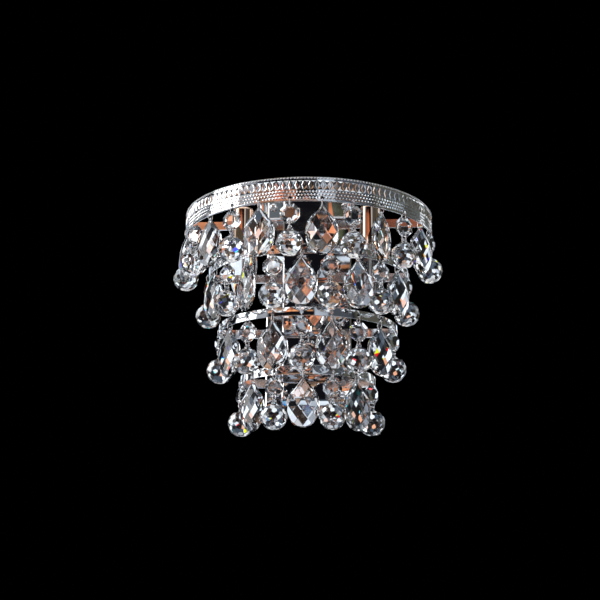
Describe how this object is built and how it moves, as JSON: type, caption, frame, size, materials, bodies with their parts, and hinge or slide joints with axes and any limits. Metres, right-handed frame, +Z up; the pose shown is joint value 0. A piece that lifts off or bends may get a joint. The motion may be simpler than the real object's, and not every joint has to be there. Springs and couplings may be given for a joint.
{
  "type": "crystal wall sconce",
  "caption": "Half-round chrome wall light with four stepped bands, each hung with faceted crystal almonds and balls on wire links.",
  "frame": {"origin": "on the wall, midway between the two fixing screws of the wall bracket", "axes": "+Z up, +Y into the wall, the light stands out along -Y"},
  "size_m": [0.3228, 0.1824, 0.3113],
  "materials": {
    "chrome": "polished",
    "crystal": "clear, cut facets",
    "steel": "zinc plated",
    "bulb_glass": "clear"
  },
  "bodies": {
    "frame": {"top_band": "chrome", "top_back_bar": "chrome", "second_band": "chrome", "second_back_bar": "chrome", "third_band": "chrome", "third_back_bar": "chrome", "fourth_band": "chrome", "fourth_back_bar": "chrome", "wall_plate": "chrome", "wall_bracket": "steel", "bracket_studs": "steel", "dome_nuts": "chrome", "bar_screws": "steel", "lamp_box": "chrome", "right_lamp_arm": "chrome", "left_lamp_arm": "chrome", "right_lampholder": "chrome", "left_lampholder": "chrome", "right_bulb": "bulb_glass", "left_bulb": "bulb_glass"},
    "top_ball_1": {"top_ball_1": "crystal"},
    "top_almond_1": {"top_almond_1": "crystal"},
    "top_ball_2": {"top_ball_2": "crystal"},
    "top_almond_2": {"top_almond_2": "crystal"},
    "top_ball_3": {"top_ball_3": "crystal"},
    "top_almond_3": {"top_almond_3": "crystal"},
    "top_ball_4": {"top_ball_4": "crystal"},
    "top_almond_4": {"top_almond_4": "crystal"},
    "top_ball_5": {"top_ball_5": "crystal"},
    "top_almond_5": {"top_almond_5": "crystal"},
    "top_ball_6": {"top_ball_6": "crystal"},
    "top_almond_6": {"top_almond_6": "crystal"},
    "top_ball_7": {"top_ball_7": "crystal"},
    "second_ball_1": {"second_ball_1": "crystal"},
    "second_almond_1": {"second_almond_1": "crystal"},
    "second_ball_2": {"second_ball_2": "crystal"},
    "second_almond_2": {"second_almond_2": "crystal"},
    "second_ball_3": {"second_ball_3": "crystal"},
    "second_almond_3": {"second_almond_3": "crystal"},
    "second_ball_4": {"second_ball_4": "crystal"},
    "second_almond_4": {"second_almond_4": "crystal"},
    "second_ball_5": {"second_ball_5": "crystal"},
    "second_almond_5": {"second_almond_5": "crystal"},
    "second_ball_6": {"second_ball_6": "crystal"},
    "third_ball_1": {"third_ball_1": "crystal"},
    "third_almond_1": {"third_almond_1": "crystal"},
    "third_ball_2": {"third_ball_2": "crystal"},
    "third_almond_2": {"third_almond_2": "crystal"},
    "third_ball_3": {"third_ball_3": "crystal"},
    "third_almond_3": {"third_almond_3": "crystal"},
    "third_ball_4": {"third_ball_4": "crystal"},
    "third_almond_4": {"third_almond_4": "crystal"},
    "third_ball_5": {"third_ball_5": "crystal"},
    "fourth_ball_1": {"fourth_ball_1": "crystal"},
    "fourth_almond_1": {"fourth_almond_1": "crystal"},
    "fourth_ball_2": {"fourth_ball_2": "crystal"},
    "fourth_almond_2": {"fourth_almond_2": "crystal"},
    "fourth_ball_3": {"fourth_ball_3": "crystal"},
    "fourth_almond_3": {"fourth_almond_3": "crystal"},
    "fourth_ball_4": {"fourth_ball_4": "crystal"}
  },
  "joints": [
    {"name": "top_ball_1_swing", "type": "hinge", "parent": "frame", "child": "top_ball_1", "pos_m": [-0.14715, -0.02864, -0.0433], "axis": [-0.0586, 0.9983, 0], "range_deg": [-4, 25]},
    {"name": "top_almond_1_swing", "type": "hinge", "parent": "frame", "child": "top_almond_1", "pos_m": [-0.14088, -0.06334, -0.0433], "axis": [-0.294, 0.9558, 0], "range_deg": [-4, 25]},
    {"name": "top_ball_2_swing", "type": "hinge", "parent": "frame", "child": "top_ball_2", "pos_m": [-0.12656, -0.09556, -0.0433], "axis": [-0.5126, 0.8586, 0], "range_deg": [-4, 25]},
    {"name": "top_almond_2_swing", "type": "hinge", "parent": "frame", "child": "top_almond_2", "pos_m": [-0.10499, -0.12346, -0.0433], "axis": [-0.7019, 0.7123, 0], "range_deg": [-4, 25]},
    {"name": "top_ball_3_swing", "type": "hinge", "parent": "frame", "child": "top_ball_3", "pos_m": [-0.07741, -0.14544, -0.0433], "axis": [-0.851, 0.5252, 0], "range_deg": [-4, 25]},
    {"name": "top_almond_3_swing", "type": "hinge", "parent": "frame", "child": "top_almond_3", "pos_m": [-0.0454, -0.16023, -0.0433], "axis": [-0.9514, 0.308, 0], "range_deg": [-4, 25]},
    {"name": "top_ball_4_swing", "type": "hinge", "parent": "frame", "child": "top_ball_4", "pos_m": [-0.0108, -0.167, -0.0433], "axis": [-0.9973, 0.0732, 0], "range_deg": [-4, 25]},
    {"name": "top_almond_4_swing", "type": "hinge", "parent": "frame", "child": "top_almond_4", "pos_m": [0.02443, -0.16536, -0.0433], "axis": [-0.9862, -0.1657, 0], "range_deg": [-4, 25]},
    {"name": "top_ball_5_swing", "type": "hinge", "parent": "frame", "child": "top_ball_5", "pos_m": [0.05826, -0.1554, -0.0433], "axis": [-0.9186, -0.3952, 0], "range_deg": [-4, 25]},
    {"name": "top_almond_5_swing", "type": "hinge", "parent": "frame", "child": "top_almond_5", "pos_m": [0.08875, -0.13769, -0.0433], "axis": [-0.7984, -0.6021, 0], "range_deg": [-4, 25]},
    {"name": "top_ball_6_swing", "type": "hinge", "parent": "frame", "child": "top_ball_6", "pos_m": [0.11416, -0.11324, -0.0433], "axis": [-0.6326, -0.7745, 0], "range_deg": [-4, 25]},
    {"name": "top_almond_6_swing", "type": "hinge", "parent": "frame", "child": "top_almond_6", "pos_m": [0.13304, -0.08346, -0.0433], "axis": [-0.4305, -0.9026, 0], "range_deg": [-4, 25]},
    {"name": "top_ball_7_swing", "type": "hinge", "parent": "frame", "child": "top_ball_7", "pos_m": [0.14431, -0.05004, -0.0433], "axis": [-0.2038, -0.979, 0], "range_deg": [-4, 25]},
    {"name": "second_ball_1_swing", "type": "hinge", "parent": "frame", "child": "second_ball_1", "pos_m": [-0.11677, -0.04238, -0.0933], "axis": [-0.1882, 0.9821, 0], "range_deg": [-1.5, 20]},
    {"name": "second_almond_1_swing", "type": "hinge", "parent": "frame", "child": "second_almond_1", "pos_m": [-0.10624, -0.07339, -0.0933], "axis": [-0.449, 0.8935, 0], "range_deg": [-1.5, 20]},
    {"name": "second_ball_2_swing", "type": "hinge", "parent": "frame", "child": "second_ball_2", "pos_m": [-0.08765, -0.10034, -0.0933], "axis": [-0.6757, 0.7372, 0], "range_deg": [-1.5, 20]},
    {"name": "second_almond_2_swing", "type": "hinge", "parent": "frame", "child": "second_almond_2", "pos_m": [-0.06241, -0.1212, -0.0933], "axis": [-0.8512, 0.5249, 0], "range_deg": [-1.5, 20]},
    {"name": "second_ball_3_swing", "type": "hinge", "parent": "frame", "child": "second_ball_3", "pos_m": [-0.03243, -0.13439, -0.0933], "axis": [-0.9621, 0.2728, 0], "range_deg": [-1.5, 20]},
    {"name": "second_almond_3_swing", "type": "hinge", "parent": "frame", "child": "second_almond_3", "pos_m": [0, -0.1389, -0.0933], "axis": [-1, 0, 0], "range_deg": [-1.5, 20]},
    {"name": "second_ball_4_swing", "type": "hinge", "parent": "frame", "child": "second_ball_4", "pos_m": [0.03243, -0.13439, -0.0933], "axis": [-0.9621, -0.2728, 0], "range_deg": [-1.5, 20]},
    {"name": "second_almond_4_swing", "type": "hinge", "parent": "frame", "child": "second_almond_4", "pos_m": [0.06241, -0.1212, -0.0933], "axis": [-0.8512, -0.5249, 0], "range_deg": [-1.5, 20]},
    {"name": "second_ball_5_swing", "type": "hinge", "parent": "frame", "child": "second_ball_5", "pos_m": [0.08765, -0.10034, -0.0933], "axis": [-0.6757, -0.7372, 0], "range_deg": [-1.5, 20]},
    {"name": "second_almond_5_swing", "type": "hinge", "parent": "frame", "child": "second_almond_5", "pos_m": [0.10624, -0.07339, -0.0933], "axis": [-0.449, -0.8935, 0], "range_deg": [-1.5, 20]},
    {"name": "second_ball_6_swing", "type": "hinge", "parent": "frame", "child": "second_ball_6", "pos_m": [0.11677, -0.04238, -0.0933], "axis": [-0.1882, -0.9821, 0], "range_deg": [-1.5, 20]},
    {"name": "third_ball_1_swing", "type": "hinge", "parent": "frame", "child": "third_ball_1", "pos_m": [-0.10051, -0.05173, -0.1618], "axis": [-0.301, 0.9536, 0], "range_deg": [-3, 20]},
    {"name": "third_almond_1_swing", "type": "hinge", "parent": "frame", "child": "third_almond_1", "pos_m": [-0.08566, -0.08142, -0.1618], "axis": [-0.5827, 0.8127, 0], "range_deg": [-3, 20]},
    {"name": "third_ball_2_swing", "type": "hinge", "parent": "frame", "child": "third_ball_2", "pos_m": [-0.06231, -0.10501, -0.1618], "axis": [-0.8065, 0.5912, 0], "range_deg": [-3, 20]},
    {"name": "third_almond_2_swing", "type": "hinge", "parent": "frame", "child": "third_almond_2", "pos_m": [-0.03278, -0.12017, -0.1618], "axis": [-0.9504, 0.311, 0], "range_deg": [-3, 20]},
    {"name": "third_ball_3_swing", "type": "hinge", "parent": "frame", "child": "third_ball_3", "pos_m": [0, -0.1254, -0.1618], "axis": [-1, 0, 0], "range_deg": [-3, 20]},
    {"name": "third_almond_3_swing", "type": "hinge", "parent": "frame", "child": "third_almond_3", "pos_m": [0.03278, -0.12017, -0.1618], "axis": [-0.9504, -0.311, 0], "range_deg": [-3, 20]},
    {"name": "third_ball_4_swing", "type": "hinge", "parent": "frame", "child": "third_ball_4", "pos_m": [0.06231, -0.10501, -0.1618], "axis": [-0.8065, -0.5912, 0], "range_deg": [-3, 20]},
    {"name": "third_almond_4_swing", "type": "hinge", "parent": "frame", "child": "third_almond_4", "pos_m": [0.08566, -0.08142, -0.1618], "axis": [-0.5827, -0.8127, 0], "range_deg": [-3, 20]},
    {"name": "third_ball_5_swing", "type": "hinge", "parent": "frame", "child": "third_ball_5", "pos_m": [0.10051, -0.05173, -0.1618], "axis": [-0.301, -0.9536, 0], "range_deg": [-3, 20]},
    {"name": "fourth_ball_1_swing", "type": "hinge", "parent": "frame", "child": "fourth_ball_1", "pos_m": [-0.07553, -0.0428, -0.2223], "axis": [-0.289, 0.9573, 0], "range_deg": [-3, 20]},
    {"name": "fourth_almond_1_swing", "type": "hinge", "parent": "frame", "child": "fourth_almond_1", "pos_m": [-0.05937, -0.07197, -0.2223], "axis": [-0.6587, 0.7524, 0], "range_deg": [-3, 20]},
    {"name": "fourth_ball_2_swing", "type": "hinge", "parent": "frame", "child": "fourth_ball_2", "pos_m": [-0.03259, -0.09185, -0.2223], "axis": [-0.9107, 0.4131, 0], "range_deg": [-3, 20]},
    {"name": "fourth_almond_2_swing", "type": "hinge", "parent": "frame", "child": "fourth_almond_2", "pos_m": [0, -0.0989, -0.2223], "axis": [-1, 0, 0], "range_deg": [-3, 20]},
    {"name": "fourth_ball_3_swing", "type": "hinge", "parent": "frame", "child": "fourth_ball_3", "pos_m": [0.03259, -0.09185, -0.2223], "axis": [-0.9107, -0.4131, 0], "range_deg": [-3, 20]},
    {"name": "fourth_almond_3_swing", "type": "hinge", "parent": "frame", "child": "fourth_almond_3", "pos_m": [0.05937, -0.07197, -0.2223], "axis": [-0.6587, -0.7524, 0], "range_deg": [-3, 20]},
    {"name": "fourth_ball_4_swing", "type": "hinge", "parent": "frame", "child": "fourth_ball_4", "pos_m": [0.07553, -0.0428, -0.2223], "axis": [-0.289, -0.9573, 0], "range_deg": [-3, 20]}
  ]
}
